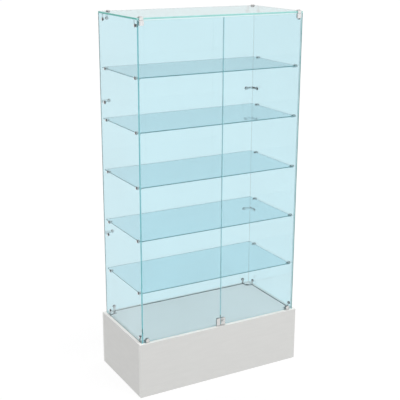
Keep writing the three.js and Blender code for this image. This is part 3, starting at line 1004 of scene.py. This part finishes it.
def bracket_shape(end):
    """A leg on the side glass, and a plate with a tongue for the door's pin."""
    bm = bmesh.new()
    wall = WALL_X - SEAT
    front, rear = LEG_FRONT_Y, LEG_REAR_Y
    corners = [(front, PLATE_Z), (rear, PLATE_Z), (rear, LEG_TOP), (front, LEG_TOP)]
    slab(bm, rounded(corners, [0, 0, 6, 6], 8), LEG_X, wall, 0.8, ACROSS_X)
    tongue_left, tongue_right = PIVOT[0] - TONGUE, PIVOT[0] + TONGUE
    tongue_front = PIVOT[1] - TONGUE
    plate = rounded(
        [
            (BRACKET_FOOT_X, front), (tongue_left, front), (tongue_left, tongue_front),
            (tongue_right, tongue_front), (tongue_right, front),
            (wall, front), (wall, rear), (BRACKET_FOOT_X, rear),
        ],
        [4, 1.5, 6.9, 6.9, 1.5, 0, 0, 4],
    )
    top = PLATE_Z + BRACKET_PLATE
    slab(bm, plate, PLATE_Z, top, 0.4)
    glass_screw(bm, (WALL_X, BRACKET_SCREW_Y, CORNER_Z), RIGHT, BRACKET_LEG)
    strip = rectangle(rear - 5, rear - 0.5, PLATE_Z + 3, LEG_TOP - 5, 0.8, 3)
    pad_slab(bm, strip, wall, WALL_X, ACROSS_X)
    if end == "bottom":
        place = BRACKET_SCREW_X, BRACKET_SCREW_Y
        turned(bm, button(FOOT_HEAD), facing((*place, top), UP), 48)
        foot_fixing(bm, *place, end)
        return bm
    foot_fixing(bm, *TOP_CAP, end)
    outer = BASE_HEIGHT - TOP_GLASS - SEAT
    lip = FRONT_Y - SEAT
    x, y = TOP_CAP
    half = TOP_CAP_RADIUS
    face = rectangle(x - half, x + half, outer - TOP_CLIP, top, 6.4, 10)
    slab(bm, face, -lip, -lip + TOP_CLIP, 0.9, ACROSS_Y, SATIN)
    arm = rectangle(x - half + 4, x + half - 4, lip - 2.2, y + 2, 1.0, 3)
    slab(bm, arm, outer - 2.6, outer, 0.5, material=SATIN)
    return bm


def add_front_corners(side):
    hole = ((*PIVOT, PLATE_Z - 2), (*PIVOT, PLATE_Z + BRACKET_PLATE + 0.2), PIN_HOLE)
    for end, flips in ends_of(side):
        node = f"front_corner_{end}_{side}"
        mesh = to_mesh(bracket_shape(end), node, **flips)
        show(node, carved(mesh, bores([hole], 32, **flips), METAL), METAL)


# ---- Door pivot clamps ----

CLAMP_FRONT = FRONT_Y - SEAT  # the inner faces of what the door's fittings hold it between
CLAMP_REAR = DOOR_BACK_Y + SEAT


def clamp_shape(end):
    """A disc at the lower end and a square at the upper one, with a cheek behind the glass."""
    bm = bmesh.new()
    lower = end == "bottom"
    half = 10 if lower else 11.5
    x = PIVOT[0] - (6.5 if lower else -2.2)
    middle = WEB_Z + half
    if lower:
        disc = [
            (9.6, 0), (10, 0.4), (10, 2.2), (9.85, 2.6),
            (9.5, 2.85), (9.0, 2.95), (5.0, 2.98), (1.0, 3.0),
        ]
        turned(bm, disc, facing((x, CLAMP_FRONT, middle), FRONT), 64, material=NICKEL)
    else:
        square = rectangle(x - half, x + half, middle - half, middle + half, 5, 8)
        slab(bm, square, -CLAMP_FRONT, -CLAMP_FRONT + 2.6, 0.7, ACROSS_Y, SATIN)
        ring = [
            (8.2, 0), (8.2, 0.25), (7.9, 0.4), (7.1, 0.4),
            (6.8, 0.2), (6.2, 0.2), (3.0, 0.35), (0.8, 0.4),
        ]
        turned(bm, ring, facing((x, CLAMP_FRONT - 2.6, middle), FRONT), 56)
    cheek = rectangle(x - half, x + half, middle - half, middle + half, 4, 8)
    slab(bm, cheek, -CLAMP_REAR - CHEEK, -CLAMP_REAR, 0.7, ACROSS_Y)
    web = rectangle(x - half + 0.2, x + half - 0.2, CLAMP_FRONT - 2.8, CLAMP_REAR + 2.8, 1.5, 4)
    slab(bm, web, WEB_Z, WEB_Z + WEB, 0.4)
    grub = [
        (3.4, 0), (3.4, 0.5), (3.1, 0.8), (2.2, 0.8, 0, CHROME),
        (1.8, 0.6, 6, SOCKET), (1.8, -0.9, 6, SOCKET), (0.2, -1.1, 0, SOCKET),
    ]
    turned(bm, grub, facing((x, CLAMP_REAR + CHEEK, middle), BACK), 32)
    shank(bm, PIN, (*PIVOT, PLATE_Z + SEAT), (*PIVOT, WEB_Z + 1), 32)
    return bm


def add_door_clamps(side):
    for end, flips in ends_of(side):
        node = f"door_clamp_{end}_{side}"
        show(node, to_mesh(clamp_shape(end), node, **flips), METAL)


# ---- Lock ----

BODY_FACE = CLAMP_FRONT - LOCK_FRONT
BODY_BACK = CLAMP_REAR + LOCK_REAR
BARREL_FACE = BODY_FACE - BARREL_LENGTH
CAM_FACE = BODY_BACK + 2 * SEAT


def on_axis(y):
    return (LOCK_X, y, LOCK_Z)


def channel(width):
    """A channel that slips over a door's lower edge, with rounded upper corners."""
    bm = bmesh.new()
    x0, x1 = LOCK_INNER_X, LOCK_INNER_X + width
    corners = [(x0, WEB_Z), (x1, WEB_Z), (x1, LOCK_TOP), (x0, LOCK_TOP)]
    sheet = rounded(corners, [0.8, 0.8, 3.5, 1.2], 8)
    slab(bm, sheet, -CLAMP_FRONT, -BODY_FACE, 0.8, ACROSS_Y, NICKEL)
    slab(bm, sheet, -BODY_BACK, -CLAMP_REAR, 0.5, ACROSS_Y)
    web = rectangle(x0 + 0.1, x1 - 0.1, BODY_FACE + 0.2, BODY_BACK - 0.2, 0.6, 3)
    slab(bm, web, WEB_Z, WEB_Z + WEB, 0.4)
    return bm


def add_lock_body():
    bm = channel(LOCK_WIDTH)
    # The barrel's bore and the lip round its plug take the socket material, painted shade in that
    # hollow.
    tube = [
        (BARREL_BORE, -0.9, 0, NICKEL), (10.4, -0.9, 0, NICKEL), (10.4, 1.2, 0, NICKEL),
        (10.1, 1.7, 0, NICKEL), (9.6, 1.9, 0, NICKEL), (8.0, 2.0), (7.8, 2.3), (7.8, 6.5),
        (7.65, 7.0, 0, SATIN), (7.3, BARREL_LENGTH, 0, SATIN), (6.8, BARREL_LENGTH, 0, SATIN),
        (6.5, 7.15, 0, SOCKET), (BARREL_BORE, 6.8, 0, SOCKET),
    ]
    turned(bm, tube, facing(on_axis(BODY_FACE), FRONT), 64, closed=True)
    hole = (on_axis(BODY_FACE - 0.5), on_axis(BODY_BACK + 1), BARREL_BORE)
    show("lock_body", carved(to_mesh(bm, "lock_body"), bores([hole], 64), METAL), METAL)


def add_lock_cylinder():
    """The plug with its keyway, the spindle through the cam, and the nut behind it."""
    bm = bmesh.new()
    length = CAM_FACE - SEAT - BARREL_FACE
    plug = [
        (SCREW, -4.6), (SCREW, 0), (PLUG, 0), (PLUG, length - 0.4),
        (PLUG - 0.3, length - 0.1), (PLUG - 0.7, length),
    ]
    turned(bm, plug, facing(on_axis(CAM_FACE - SEAT), FRONT), 48, material=SATIN)
    nut = [(4.0, 0, 6), (4.35, 0.35, 6), (4.35, 1.65, 6), (4.0, 2.0, 6)]
    turned(bm, nut, facing(on_axis(CAM_FACE + CAM_PLATE + SEAT), BACK), 48)
    slot = bmesh.new()
    outline = rectangle(LOCK_X - 0.75, LOCK_X + 0.75, LOCK_Z - 3.5, LOCK_Z + 3.5, 0.3, 3)
    slab(slot, outline, -BARREL_FACE - 2, -BARREL_FACE + 1, 0.05, ACROSS_Y, SOCKET)
    mesh = carved(to_mesh(bm, "lock_cylinder"), to_mesh(slot, "tools"), METAL)
    show("lock_cylinder", mesh, METAL)


def add_lock_cam():
    bm = bmesh.new()
    left, right = LOCK_X - CAM_HALF, LOCK_X + CAM_HALF
    low = LOCK_Z - CAM_REACH
    foot = rounded([(left, LOCK_Z), (left, low), (right, low), (right, LOCK_Z)], [0, 3, 3, 0])
    outline = arc((LOCK_X, LOCK_Z), CAM_HALF, 0, 24) + foot[1:-1]
    slab(bm, outline, -CAM_FACE - CAM_PLATE, -CAM_FACE, 0.4, ACROSS_Y)
    hole = (on_axis(CAM_FACE - 1), on_axis(CAM_FACE + 3), SCREW + 0.3)
    show("lock_cam", carved(to_mesh(bm, "lock_cam"), bores([hole], 32)), METAL)


def add_lock():
    add_lock_body()
    show("lock_strike", to_mesh(channel(STRIKE_WIDTH), "lock_strike", flip_x=True), METAL)
    add_lock_cylinder()
    add_lock_cam()


add_pedestal()
add_glass()
add_shelf_supports()
for add_fittings in (add_rear_connectors, add_front_corners, add_door_clamps):
    for side in ("left", "right"):
        add_fittings(side)
add_lock()


# ---- Floor, light and camera ----

FLOOR_SIZE = 60
FLOOR_GREY = 0.3
FLOOR_GLOW = (0.5, 0.78)  # on matt surfaces, and as seen directly
SKY = (0.8, 1.0)  # the same for the world
CEILING = 0.04  # the strength of the studio's dark ceiling
CEILING_EDGE = (0.38, 0.48)  # the rise between which it starts
CEILING_OUTSIDE = 0.3  # how much of it mirrors outside the glass show
WALL_SHARE = 0.2  # how much darker the studio's walls are in a mirror
FLAG_OUTSIDE = 0.75  # how much of a flag mirrors outside the glass show
FLAG_STRENGTH = 0.03
FLAG_RADIUS = 1.3
FLAG_HEIGHT = 2.6
FLAG_STEPS = 24
WHITE = (1, 1, 1, 1)


def mixed(tree, factor, first, second):
    """A shader between two others."""
    node = add(tree, "MixShader")
    for number, source in enumerate((factor, first, second)):
        link(tree, source, node.inputs[number])
    return node.outputs[0]


def seen_directly(tree):
    """1 for rays from the camera, a mirror or glass, and 0 for the light on matt surfaces."""
    ray = add(tree, "LightPath").outputs
    sharp = maths(tree, "MAXIMUM", ray["Is Camera Ray"], ray["Is Glossy Ray"])
    return maths(tree, "MAXIMUM", sharp, ray["Is Transmission Ray"])


def flagged(tree, outside):
    """How dark the studio's black parts are for a ray: 1 after a mirror inside the glass, the
    given share after one outside it, and 0 for rays that no mirror has turned."""
    ray = add(tree, "LightPath").outputs
    mirrored = spread(tree, ray["Glossy Depth"], 0, 1, 0.4, 0.6)
    inside = spread(tree, ray["Transmission Depth"], outside, 1, 0.4, 0.6)
    return maths(tree, "MULTIPLY", mirrored, inside)


def add_floor():
    """A matt grey floor that glows to white where it is seen, and keeps the case's shadow."""
    bpy.ops.mesh.primitive_plane_add(size=FLOOR_SIZE, location=(0, 0, 0))
    floor = bpy.context.object
    floor.name = "floor"
    material, tree = new_tree("floor")
    matt = add(tree, "BsdfDiffuse", Color=(FLOOR_GREY, FLOOR_GREY, FLOOR_GREY, 1))
    glow = add(tree, "Emission")
    link(tree, spread(tree, seen_directly(tree), *FLOOR_GLOW, 0, 1), glow.inputs["Strength"])
    both = add(tree, "AddShader")
    link(tree, matt.outputs[0], both.inputs[0])
    link(tree, glow.outputs[0], both.inputs[1])
    surface(tree, both.outputs[0])
    floor.data.materials.append(material)


def add_world():
    """A white studio. Mirrors see its dark ceiling, and its walls a little darker."""
    world = bpy.data.worlds.new("studio")
    bpy.context.scene.world = world
    world.use_nodes = True
    tree = world.node_tree
    tree.nodes.clear()
    soft, white = [add(tree, "Background", Strength=s, Color=WHITE).outputs[0] for s in SKY]
    walls = mixed(tree, seen_directly(tree), soft, white)
    ceiling = add(tree, "Background", Strength=CEILING).outputs[0]
    shade_share = flagged(tree, CEILING_OUTSIDE)
    walls = mixed(tree, spread(tree, shade_share, 0, WALL_SHARE, 0, 1), walls, ceiling)
    high = spread(tree, height_in(tree, "Generated"), 0, 1, *CEILING_EDGE)
    whole = mixed(tree, maths(tree, "MULTIPLY", high, shade_share), walls, ceiling)
    out = add(tree, "OutputWorld")
    link(tree, whole, out.inputs["Surface"])


def add_flag(name, start, end):
    """A black studio flag on an arc round the case, seen only in what mirrors it. Its angles are
    in degrees from the front, positive towards the right."""
    bm = bmesh.new()
    rows = []
    for z in (0.002, FLAG_HEIGHT):
        row = []
        for k in range(FLAG_STEPS + 1):
            angle = math.radians(start + (end - start) * k / FLAG_STEPS)
            x, y = FLAG_RADIUS * math.sin(angle), -FLAG_RADIUS * math.cos(angle)
            row.append(bm.verts.new((x, y, z)))
        rows.append(row)
    low, high = rows
    for i in range(FLAG_STEPS):
        bm.faces.new((low[i], low[i + 1], high[i + 1], high[i]))
    mesh = bpy.data.meshes.new(name)
    bm.to_mesh(mesh)
    bm.free()
    material, tree = new_tree(name)
    clear = add(tree, "BsdfTransparent").outputs[0]
    black = add(tree, "Emission", Strength=FLAG_STRENGTH).outputs[0]
    surface(tree, mixed(tree, flagged(tree, FLAG_OUTSIDE), clear, black))
    mesh.materials.append(material)
    flag = bpy.data.objects.new(name, mesh)
    flag.visible_camera = False
    flag.visible_diffuse = False
    flag.visible_shadow = False
    bpy.context.scene.collection.objects.link(flag)


def collection(name, pieces):
    group = bpy.data.collections.new(name)
    for piece in pieces:
        group.objects.link(piece)
    return group


def add_lamp(name, place, aim, size, power, blockers, lights=None, tone=(1, 1, 1)):
    """A square softbox that only matt surfaces show. Glass throws no shadow in its light, and it
    may be kept to the pieces of one collection."""
    data = bpy.data.lights.new(name, "AREA")
    data.shape = "RECTANGLE"
    data.size = data.size_y = size
    data.energy = power
    data.color = tone
    lamp = bpy.data.objects.new(name, data)
    lamp.location = place
    way = Vector(aim) - Vector(place)
    lamp.rotation_euler = way.to_track_quat("-Z", "Y").to_euler()
    lamp.visible_glossy = False
    lamp.visible_transmission = False
    lamp.visible_camera = False
    lamp.light_linking.blocker_collection = blockers
    if lights:
        lamp.light_linking.receiver_collection = lights
    bpy.context.scene.collection.objects.link(lamp)


def add_lamps():
    looks = [o for o in bpy.context.scene.collection.all_objects if o.name.endswith("_look")]
    opaque = [o for o in looks if "glass" not in o.name]
    solid = collection("solid_pieces", opaque)
    boards = collection("boards", [o for o in opaque if o.name.startswith("base_")])
    deck = collection("deck", [o for o in opaque if o.name == "base_deck_look"])
    add_lamp("key", (1.6, -4.2, 3.4), (0, 0, 0.8), 2.6, 39, solid)
    add_lamp("top", (0, -0.6, 5.2), (0, 0, 0), 4, 160, solid, boards)
    place, tone = (0.9, -0.8, 2.4), (0.90, 1.01, 1.09)
    add_lamp("deck_light", place, (0, 0, BASE_HEIGHT * MM), 1.2, 30, solid, deck, tone)


def add_camera():
    data = bpy.data.cameras.new("camera")
    data.lens = LENS
    data.sensor_width = SENSOR
    data.sensor_fit = "HORIZONTAL"
    data.clip_end = 100
    camera = bpy.data.objects.new("camera", data)
    camera.location = CAMERA_PLACE
    camera.rotation_euler = [math.radians(a) for a in CAMERA_TURN]
    bpy.context.scene.collection.objects.link(camera)
    bpy.context.scene.camera = camera


add_floor()
add_world()
add_flag("left_flag", -125, -18)
add_flag("right_flag", 62, 120)
add_lamps()
add_camera()
bpy.context.scene.view_settings.view_transform = "Standard"
